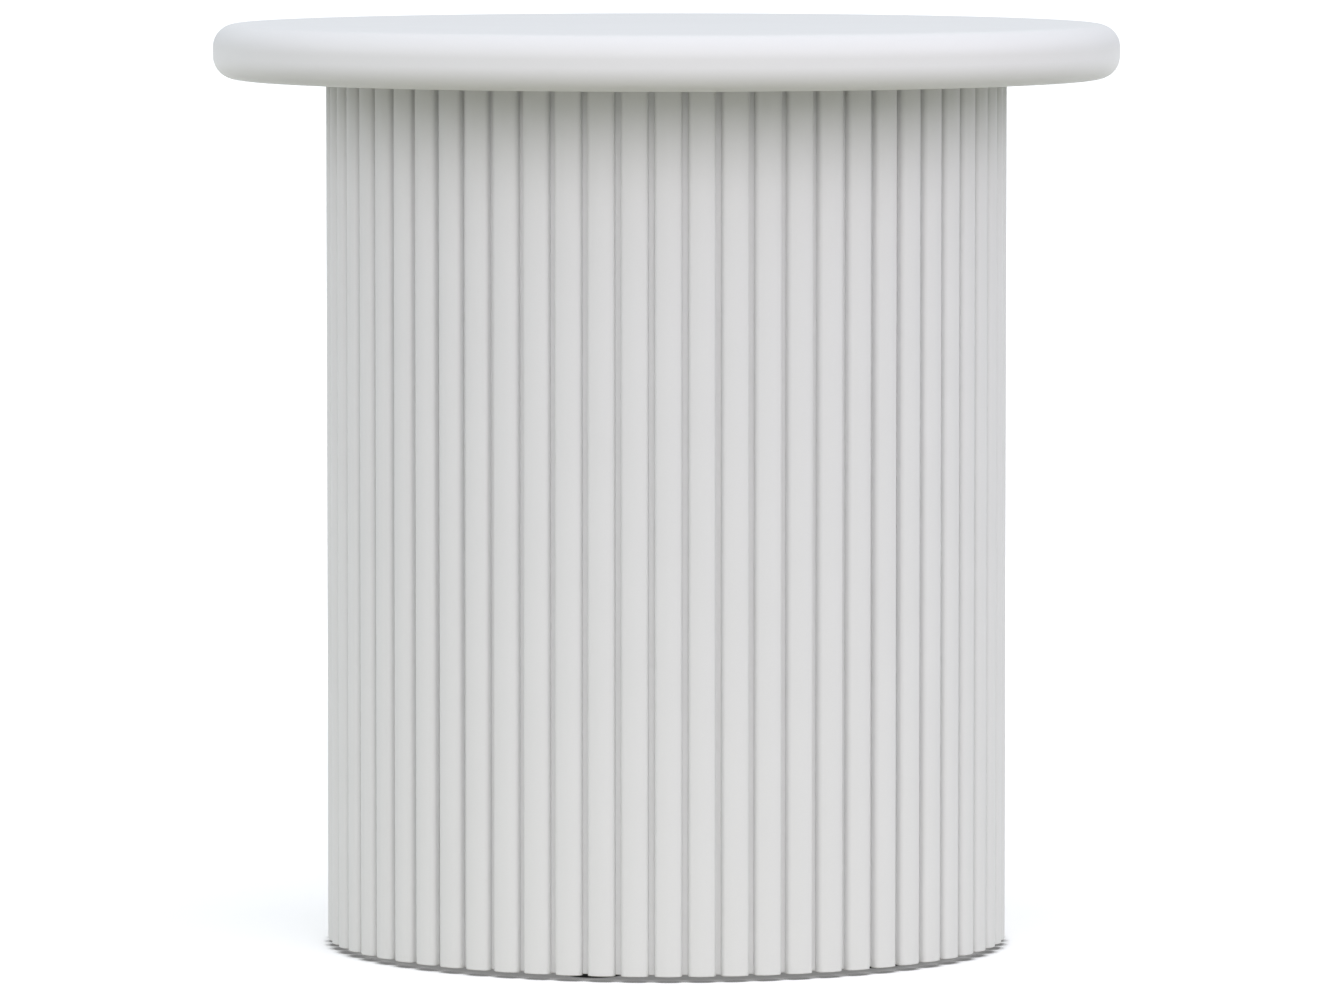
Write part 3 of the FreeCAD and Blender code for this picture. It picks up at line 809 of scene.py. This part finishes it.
bush_low, bush_high = box_of("foot_bushes")
collar_top = bush_low[2] + COLLAR_HEIGHT
bush_section = rounded(
    [
        (BUSH_BORE, bush_low[2] + BORE_CHAMFER, TOOL_CORNER),
        (BUSH_BORE + BORE_CHAMFER, bush_low[2], BROKEN_EDGE),
        (COLLAR_RADIUS, bush_low[2], COLLAR_EDGE),
        (COLLAR_RADIUS, collar_top, COLLAR_STEP),
        (BUSH_RADIUS, collar_top, TOOL_CORNER),
        (BUSH_RADIUS, bush_high[2], BUSH_EDGE),
        (BUSH_BORE + BORE_CHAMFER, bush_high[2], BROKEN_EDGE),
        (BUSH_BORE, bush_high[2] - BORE_CHAMFER, TOOL_CORNER),
    ],
    closed=True,
    steps=2,
)
bush = turned(bush_section, SMALL_STEPS, FOOT_CIRCLE, closed=True)
make_piece("foot_sockets", spread(bush, foot_turns), frame_coat, ["foot_bushes"])


# %% [markdown]
# ## Plated steel and brass
# The bolts, washers and foot studs are zinc-plated steel: a dull bright grey, cloudy from the
# bath, with fine rings from turning. The inserts in the board are brass. On a metal the colour
# is in the reflection, so the finish is metallic, and its clouds and rings are in the sheen.
# Both metals take the clouds and the rings from one group.

# %% Metal finishes
PATCH_SIZE = 3 * MM
PATCH_SHEEN = 0.25
TURNING_GAP = 0.15 * MM
TURNING_DEPTH = 0.01 * MM
DRAWN_ROUND = (0.05, 0.05, 1)


def make_turned_group():
    """Colour, roughness and height of turned metal: fine rings from the lathe, and patches
    where the surface is duller."""
    group, given = new_group(
        "Turned metal",
        [
            ("Tone", COLOUR, (0.7, 0.7, 0.7, 1)),
            ("Dull tone", COLOUR, (0.5, 0.5, 0.5, 1)),
            ("Roughness", NUMBER, 0.28),
        ],
    )
    place = new_node(group, "ShaderNodeTexCoord").outputs["Object"]
    patch = noise(group, place, PATCH_SIZE, detail=4)
    rings = noise(group, stretched(group, place, DRAWN_ROUND), TURNING_GAP)
    colour = mix_node(group, patch, given["Tone"], given["Dull tone"])
    dulled = math_node(group, "MULTIPLY", patch, PATCH_SHEEN)
    put_out(group, colour, math_node(group, "ADD", dulled, given["Roughness"]), rings)
    return group


turned_group = make_turned_group()
zinc = material_from(
    turned_group, "Zinc plating", depth=TURNING_DEPTH, metallic=1.0,
    tone=(0.66, 0.66, 0.65), dull_tone=(0.50, 0.50, 0.47), roughness=0.28,
)
brass = material_from(
    turned_group, "Brass", depth=TURNING_DEPTH, metallic=1.0,
    tone=(0.80, 0.62, 0.30), dull_tone=(0.62, 0.46, 0.22), roughness=0.25,
)
print("metals:", zinc.name, "/", brass.name)


# %% [markdown]
# ## Bolts and washers
# Six bolts hold the top from inside the drum. Their heads are low domes with a socket for a
# hexagon key. The head is turned, the socket is not round, so the radius depends on the turn:
# rows in the socket follow a hexagon, and the rows outside it are circles.

# %% The bolts
HEAD_RADIUS = 5.25
HEAD_HEIGHT = 3.3
HEAD_ROUNDING = 2.2
SOCKET_WIDTH = 4.0
SOCKET_DEPTH = 2.0
SOCKET_MOUTH = 2.5
BOLT_RADIUS = 3.0
BOLT_TIP = 0.6
BOLT_STEPS = 36


def hexagon_reach(turn, width):
    """How far the border of a hexagon is from its middle at each turn: half the width over its
    flats, divided by the cosine of the turn from the middle of the nearest flat."""
    sixth = FULL_TURN / 6
    from_flat = np.mod(turn + sixth / 2, sixth) - sixth / 2
    return width / 2 / np.cos(from_flat)


def keyed_bolt(low, high):
    """A button-head bolt from its head at the low level to the tip of its shank.
    Point (i, j) is at radius_i in the rows outside the socket, and on the hexagon in it."""
    seat = low + HEAD_HEIGHT
    outside = rounded(
        [
            (SOCKET_MOUTH, low, 0),
            (HEAD_RADIUS, low, HEAD_ROUNDING),
            (HEAD_RADIUS, seat, BROKEN_EDGE),
            (BOLT_RADIUS, seat, TOOL_CORNER),
            (BOLT_RADIUS, high - BOLT_TIP, TOOL_CORNER),
            (BOLT_RADIUS - BOLT_TIP, high, 0),
            (0, high, 0),
        ],
        steps=6,
    )
    turn = np.arange(BOLT_STEPS) * FULL_TURN / BOLT_STEPS
    hexagon = hexagon_reach(turn, SOCKET_WIDTH)
    inside = np.stack([0 * hexagon, hexagon, hexagon])
    radius = np.concatenate([inside, np.broadcast_to(outside[:, :1], (len(outside), BOLT_STEPS))])
    bottom, mouth = low + SOCKET_DEPTH, low + BROKEN_EDGE
    height = np.concatenate([[bottom, bottom, mouth], outside[:, 1]])[:, None]
    across = BOLT_CIRCLE + radius * np.cos(turn)
    points = np.stack([across, radius * np.sin(turn), height + 0 * radius], axis=-1)
    return points.reshape(-1, 3) * MM, grid_faces(len(height), BOLT_STEPS)


bolt_low, bolt_high = box_of("top_bolts")
bolts = spread(keyed_bolt(bolt_low[2], bolt_high[2]), bolt_turns)
make_piece("button_bolts", bolts, zinc, ["top_bolts"])

# %% The washers
WASHER_RADIUS = 6.25
WASHER_SOFTNESS = 0.25

washer_low, washer_high = box_of("bolt_washers")
washer_section = ring_section(
    BOLT_HOLE, WASHER_RADIUS, washer_low[2], washer_high[2], WASHER_SOFTNESS
)
washer = turned(washer_section, SMALL_STEPS, BOLT_CIRCLE, closed=True)
make_piece("flat_washers", spread(washer, bolt_turns), zinc, ["bolt_washers"])

# %% [markdown]
# ## The levelling feet
# A foot is two parts. The nylon pad rests on the floor and does not turn. In it swivels the head
# of a threaded stud, which a spanner turns at the hexagon, and that screws the pad up or down.
# The pad is a turned moulding with a shallow recess under its sole.

# %% The pads
PAD_RADIUS = 15.0
PAD_SHOULDER = 1.5
PAD_EDGE = 0.6
SOFT_EDGE = 0.3
SOFT_FOLD = 0.2
PAD_STEPS = 72
SOLE_RING = 10.5
SOLE_RECESS = 0.6
SOLE_SLOPE = 0.4
NECK_RING = 8.6
NECK_RECESS = 0.4
NECK_BORE = 4.3
SOCKET_RADIUS = 6.8
SOCKET_FLOOR = 2.0
SOCKET_CEILING = 5.1

_, pad_high = box_of("foot_pad_1")
pad_top = pad_high[2]
pad_section = rounded(
    [
        (0, SOLE_RECESS, 0),
        (SOLE_RING - SOLE_SLOPE, SOLE_RECESS, SOFT_FOLD),
        (SOLE_RING, 0, SOFT_EDGE),
        (PAD_RADIUS, 0, PAD_EDGE),
        (PAD_RADIUS, pad_top, PAD_SHOULDER),
        (NECK_RING, pad_top, SOFT_EDGE),
        (NECK_RING - NECK_RECESS, pad_top - NECK_RECESS, SOFT_FOLD),
        (NECK_BORE, pad_top - NECK_RECESS, SOFT_EDGE),
        (NECK_BORE, SOCKET_CEILING, TOOL_CORNER),
        (SOCKET_RADIUS, SOCKET_CEILING, TOOL_CORNER),
        (SOCKET_RADIUS, SOCKET_FLOOR, TOOL_CORNER),
        (0, SOCKET_FLOOR, 0),
    ],
    steps=3,
)
pad = turned(pad_section, PAD_STEPS, FOOT_CIRCLE)
for number, turn in enumerate(foot_turns, start=1):
    make_piece(
        f"nylon_pad_{number}", spread(pad, turn), black_nylon, [f"foot_pad_{number}"],
        body=f"pad_{number}",
    )

# %% [markdown]
# ## The threaded studs
# A thread is one groove that winds round the stud: at every turn the same profile lies a little
# higher, by one pitch for each full turn. The grid follows it. Its rows climb with the turn, so
# that each corner of the profile stays on one row, and at the last column row i has reached the
# place of the same corner in the next winding. Both ends are cut off by a cone, as they are on a
# turned stud. The hexagon under the thread is chamfered, so its rows are the smaller of a
# circle and the hexagon.

# %% The thread
PITCH = 1.25
STUD_RADIUS = 4.0
THREAD_DEPTH = 0.767
ROOT_SHARE = 0.25
CREST_SHARE = 0.875
TIP_CHAMFER = 1.0


def thread_radius(height, turn, low, high):
    """The thread's radius at each height and turn. The place in the pitch is the part of
    (height / pitch - turn / full turn) after the point: the root is a flat in its middle, the
    crest a flat at its ends, and the flanks run straight between them."""
    place = np.mod((height - low) / PITCH - turn / FULL_TURN, 1)
    from_root = np.abs(place - 0.5) * 2
    rise = np.clip((from_root - ROOT_SHARE) / (CREST_SHARE - ROOT_SHARE), 0, 1)
    root = STUD_RADIUS - THREAD_DEPTH
    radius = root + THREAD_DEPTH * rise
    tip = STUD_RADIUS - TIP_CHAMFER + high - height
    return np.minimum(radius, np.minimum(root + height - low, tip))


print("thread: root", STUD_RADIUS - THREAD_DEPTH, "crest", STUD_RADIUS, "pitch", PITCH)

# %% The studs
THREAD_CORNERS = 0.5 + np.array([-CREST_SHARE, -ROOT_SHARE, ROOT_SHARE, CREST_SHARE]) / 2
SWIVEL_RADIUS = 6.5
SWIVEL_HEIGHT = 2.2
SWIVEL_CHAMFER = 0.4
HEXAGON_WIDTH = 13.0
HEXAGON_LOW = 7.3
HEXAGON_HIGH = 11.3
CHAMFER_RADII = np.linspace(6.3, 7.6, 5)
CHAMFER_SLOPE = 0.45
STUD_STEPS = 48


def levelling_stud(low, high):
    """A stud from the head that swivels in the pad to the tip of its thread.
    Point (i, j) is at turn_j. In the rows below the thread it is level, at radius_i or on the
    hexagon where that is nearer. In the thread row i lies at pitch * (phase_i + turn_j / full
    turn), with phase_i a winding's number plus the place of a corner of the profile."""
    turn = np.linspace(0, FULL_TURN, STUD_STEPS + 1)
    slope = (CHAMFER_RADII - CHAMFER_RADII[0]) * CHAMFER_SLOPE
    narrow, wide = SWIVEL_RADIUS - SWIVEL_CHAMFER, SWIVEL_RADIUS
    head_top = low + SWIVEL_HEIGHT
    below = np.array([
        (0, low),
        (narrow, low),
        (wide, low + SWIVEL_CHAMFER),
        (wide, head_top - SWIVEL_CHAMFER),
        (narrow, head_top),
        (STUD_RADIUS, head_top),
        (STUD_RADIUS, HEXAGON_LOW),
        *zip(CHAMFER_RADII, HEXAGON_LOW + slope),
        *zip(CHAMFER_RADII[::-1], HEXAGON_HIGH - slope[::-1]),
    ])
    plain_radius = np.minimum(below[:, :1], hexagon_reach(turn, HEXAGON_WIDTH))
    plain_height = below[:, 1:] + 0 * turn
    windings = np.arange(-1, math.ceil((high - HEXAGON_HIGH) / PITCH))
    phase = (windings[:, None] + THREAD_CORNERS).reshape(-1, 1)
    height = HEXAGON_HIGH + PITCH * (phase + turn / FULL_TURN)
    height = np.clip(height, HEXAGON_HIGH, high)
    first_row = np.full((1, len(turn)), HEXAGON_HIGH)
    last_row = np.full((1, len(turn)), high)
    height = np.concatenate([first_row, height, last_row])
    radius = thread_radius(height, turn, HEXAGON_HIGH, high)
    radius = np.concatenate([plain_radius, radius, 0 * last_row])
    height = np.concatenate([plain_height, height, last_row])
    across = FOOT_CIRCLE + radius * np.cos(turn)
    points = np.stack([across, radius * np.sin(turn), height], axis=-1).reshape(-1, 3) * MM
    return points, grid_faces(len(height), len(turn), close_columns=False)


stud_low, stud_high = box_of("foot_stud_1")
stud = levelling_stud(stud_low[2], stud_high[2])
for number, turn in enumerate(foot_turns, start=1):
    make_piece(
        f"foot_screw_{number}", spread(stud, turn), zinc, [f"foot_stud_{number}"],
        body=f"stud_{number}",
    )


# %% [markdown]
# ## What the top hides
# Inside the skin lies a board that keeps the top stiff and quiet, with six brass inserts for the
# bolts. Nobody sees them until the table is taken apart, and the model's own shapes are right as
# they are, so they only get finishes: layered board with its plies, and brass.

# %% The board and the inserts
PALE_PLY = (0.62, 0.46, 0.30)
DARK_PLY = (0.42, 0.28, 0.16)
TWO_PLIES = 2.6 * MM
PLY_CONTRAST = 0.3
BOARD_GRAIN = 1.5 * MM
BOARD_DEPTH = 0.05 * MM
BOARD_ROUGHNESS = 0.7
DRAWN_ALONG_X = (0.06, 1, 1)


def make_board(name):
    """Layered board: pale and darker plies stacked by height, with grain drawn out along X."""
    material, tree, shader = new_material(name)
    shader.inputs["Roughness"].default_value = BOARD_ROUGHNESS
    place = new_node(tree, "ShaderNodeTexCoord").outputs["Object"]
    height = new_node(tree, "ShaderNodeSeparateXYZ")
    tree.links.new(place, height.inputs[0])
    plies = math_node(tree, "MULTIPLY", height.outputs["Z"], FULL_TURN / TWO_PLIES)
    wave = math_node(tree, "MULTIPLY", math_node(tree, "SINE", plies, 0.0), PLY_CONTRAST)
    grain = noise(tree, stretched(tree, place, DRAWN_ALONG_X), BOARD_GRAIN, detail=4)
    share = math_node(tree, "ADD", wave, grain)
    tree.links.new(mix_node(tree, share, PALE_PLY, DARK_PLY), shader.inputs["Base Color"])
    add_bump(tree, shader, grain, BOARD_DEPTH)
    return material


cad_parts["top_core"].data.materials[0] = make_board("Layered board")
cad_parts["threaded_inserts"].data.materials[0] = brass
print("kept from the model: the board and the inserts")

# %% [markdown]
# ## Floor, lamps and sky
# The table stands on a plain pale studio floor that runs out to white. Only the narrow dark line
# under the flutes shows that it stands there. A floor that is truly as white as that would throw
# much light up at the table, and the underside of the rim would lose its shade. So the camera
# sees a white floor that keeps the table's shadow, and the table is lit by a duller one. Close
# under the flutes the floor's colour is darkened too, so that dark line is partly painted shade.
# The light is the soft kind: an even sky, with broad panels in front and at the sides.

# %% Masks and mixes for the floor
CONTACT_REACH = 5 * MM
CONTACT_SAMPLES = 16
CONTACT_DARK = 0.6
CONTACT_CLEAR = 0.97
LIT_FROM = 1.0
LIT_TO = 2.0


def mix_shaders(tree, share, first, second):
    """The first shader mixed towards the second by a share. All three are sockets."""
    node = new_node(tree, "ShaderNodeMixShader")
    for socket, given in zip(node.inputs, (share, first, second)):
        tree.links.new(given, socket)
    return node.outputs[0]


def diffuse(tree, colour):
    """A matt surface in the colour of a socket."""
    node = new_node(tree, "ShaderNodeBsdfDiffuse")
    tree.links.new(colour, node.inputs["Color"])
    return node.outputs[0]


def floor_masks(tree):
    """How far from the table a point is, from 0 near it to 1 out in the light, and how open it
    is to the sky, from 0 close under the table to 1. The second darkens the floor's colour:
    painted shade."""
    place = new_node(tree, "ShaderNodeTexCoord").outputs["Object"]
    away = new_node(tree, "ShaderNodeVectorMath", operation="LENGTH")
    tree.links.new(place, away.inputs[0])
    falloff = new_node(tree, "ShaderNodeMapRange", interpolation_type="SMOOTHSTEP")
    falloff.inputs["From Min"].default_value = LIT_FROM
    falloff.inputs["From Max"].default_value = LIT_TO
    tree.links.new(away.outputs["Value"], falloff.inputs["Value"])
    openness = new_node(tree, "ShaderNodeAmbientOcclusion", samples=CONTACT_SAMPLES)
    openness.inputs["Distance"].default_value = CONTACT_REACH
    # Painted shade: the less sky a floor point has open, the darker its colour.
    painted_shade_map = new_node(tree, "ShaderNodeMapRange")
    painted_shade_map.inputs["From Min"].default_value = CONTACT_DARK
    painted_shade_map.inputs["From Max"].default_value = CONTACT_CLEAR
    tree.links.new(openness.outputs["AO"], painted_shade_map.inputs["Value"])
    return falloff.outputs[0], painted_shade_map.outputs[0]


print("the floor brightens from", LIT_FROM, "to", LIT_TO, "metres out")

# %% The studio floor
FLOOR_HALF = 40.0
FLOOR_LIFT = 0.2
FAR_LIFT = 0.4
WHITE = (1, 1, 1)
BLACK = (0, 0, 0)
DULL_PAPER = (0.455, 0.45, 0.35)


def make_floor_finish():
    """White with the shadows kept for the camera, glossy and transmitted rays, duller for the
    rest. Close under the table, where little of the sky is open, the white colour gives way to
    black, which is painted shade on top of the real shadow. Seen from below, the floor is clear."""
    material = bpy.data.materials.new("Studio floor")
    material.use_nodes = True
    tree = material.node_tree
    tree.nodes.clear()
    far, painted_shade_share = floor_masks(tree)
    # Painted shade: the colour seen on the floor goes to black close under the table.
    seen = diffuse(tree, mix_node(tree, painted_shade_share, BLACK, WHITE))
    glow = new_node(tree, "ShaderNodeEmission")
    lift = math_node(tree, "MULTIPLY", far, FAR_LIFT)
    tree.links.new(math_node(tree, "ADD", lift, FLOOR_LIFT), glow.inputs["Strength"])
    both = new_node(tree, "ShaderNodeAddShader")
    tree.links.new(seen, both.inputs[0])
    tree.links.new(glow.outputs[0], both.inputs[1])
    dull = diffuse(tree, mix_node(tree, far, DULL_PAPER, BLACK))
    ray = new_node(tree, "ShaderNodeLightPath").outputs
    direct = math_node(tree, "MAXIMUM", ray["Is Camera Ray"], ray["Is Glossy Ray"])
    direct = math_node(tree, "MAXIMUM", direct, ray["Is Transmission Ray"])
    above = mix_shaders(tree, direct, dull, both.outputs[0])
    side = new_node(tree, "ShaderNodeNewGeometry")
    clear = new_node(tree, "ShaderNodeBsdfTransparent")
    output = new_node(tree, "ShaderNodeOutputMaterial")
    result = mix_shaders(tree, side.outputs["Backfacing"], above, clear.outputs[0])
    tree.links.new(result, output.inputs["Surface"])
    return material


floor_mesh = bpy.data.meshes.new("studio_floor")
edge = FLOOR_HALF
floor_corners = [(-edge, -edge, 0), (edge, -edge, 0), (edge, edge, 0), (-edge, edge, 0)]
floor_mesh.from_pydata(floor_corners, [], [(0, 1, 2, 3)])
floor_mesh.materials.append(make_floor_finish())
floor = bpy.data.objects.new("studio_floor", floor_mesh)
bpy.context.scene.collection.objects.link(floor)
print("floor", 2 * FLOOR_HALF, "metres square")

# %% The sky and the panels
SKY = (0.66, 0.703, 0.736)
TABLE_MIDDLE = (0, 0, 0.25)
# Place, width and height in metres, radiance, and tone.
PANELS = {
    "front_panel": ((0.6, -6.2, 3.6), (10.0, 4.6), 1.49, (1, 0.935, 0.965)),
    "right_panel": ((6.2, -1.5, 3.6), (8.0, 4.6), 1.06, (0.975, 0.90, 1)),
    "left_panel": ((-6.2, -1.5, 3.6), (8.0, 4.6), 0.786, (1, 0.955, 0.99)),
}

world = bpy.data.worlds.new("Studio sky")
bpy.context.scene.world = world
world.use_nodes = True
sky_tree = world.node_tree
sky_tree.nodes.clear()
sky_light = new_node(sky_tree, "ShaderNodeBackground")
sky_light.inputs["Color"].default_value = (*SKY, 1)
sky_seen = new_node(sky_tree, "ShaderNodeBackground")
sky_seen.inputs["Color"].default_value = (*WHITE, 1)
sky_ray = new_node(sky_tree, "ShaderNodeLightPath").outputs
sky_output = new_node(sky_tree, "ShaderNodeOutputWorld")
sky_result = mix_shaders(
    sky_tree, sky_ray["Is Camera Ray"], sky_light.outputs[0], sky_seen.outputs[0]
)
sky_tree.links.new(sky_result, sky_output.inputs["Surface"])


def add_panel(name, place, aim, size, radiance, tone):
    """A soft light panel at a place, facing its aim. Its power is radiance * pi * its area."""
    light = bpy.data.lights.new(name, "AREA")
    light.shape = "RECTANGLE"
    light.size, light.size_y = size
    light.energy = radiance * math.pi * size[0] * size[1]
    light.color = tone
    lamp = bpy.data.objects.new(name, light)
    bpy.context.scene.collection.objects.link(lamp)
    lamp.location = place
    away = np.array(place) - np.array(aim)
    flat = math.hypot(away[0], away[1])
    lamp.rotation_euler = (math.atan2(flat, away[2]), 0, math.atan2(away[0], -away[1]))


for name, (place, size, radiance, tone) in PANELS.items():
    add_panel(name, place, TABLE_MIDDLE, size, radiance, tone)

# %% [markdown]
# ## The camera
# The picture was taken from far away with a long lens, a little above the top, so that the
# upright lines stay upright and the top shows as a thin ellipse. A near camera would make the
# top look larger than the base. The place and the lens were found by matching the outline of
# the top, the sides of the base and the bottoms of the flutes.

# %% The viewpoint
LENS = 258.9
SENSOR_WIDTH = 36.0
CLIP_END = 200.0
CAMERA_PLACE = (-0.00027, -5.2875, 0.6425)
CAMERA_TILT = 85.709

camera_data = bpy.data.cameras.new("long_lens")
camera_data.lens = LENS
camera_data.sensor_width = SENSOR_WIDTH
camera_data.clip_end = CLIP_END
camera = bpy.data.objects.new("long_lens", camera_data)
bpy.context.scene.collection.objects.link(camera)
camera.location = CAMERA_PLACE
camera.rotation_euler = (math.radians(CAMERA_TILT), 0.0, 0.0)
bpy.context.scene.camera = camera
bpy.context.scene.view_settings.view_transform = "Standard"
print("camera at", tuple(camera.location))
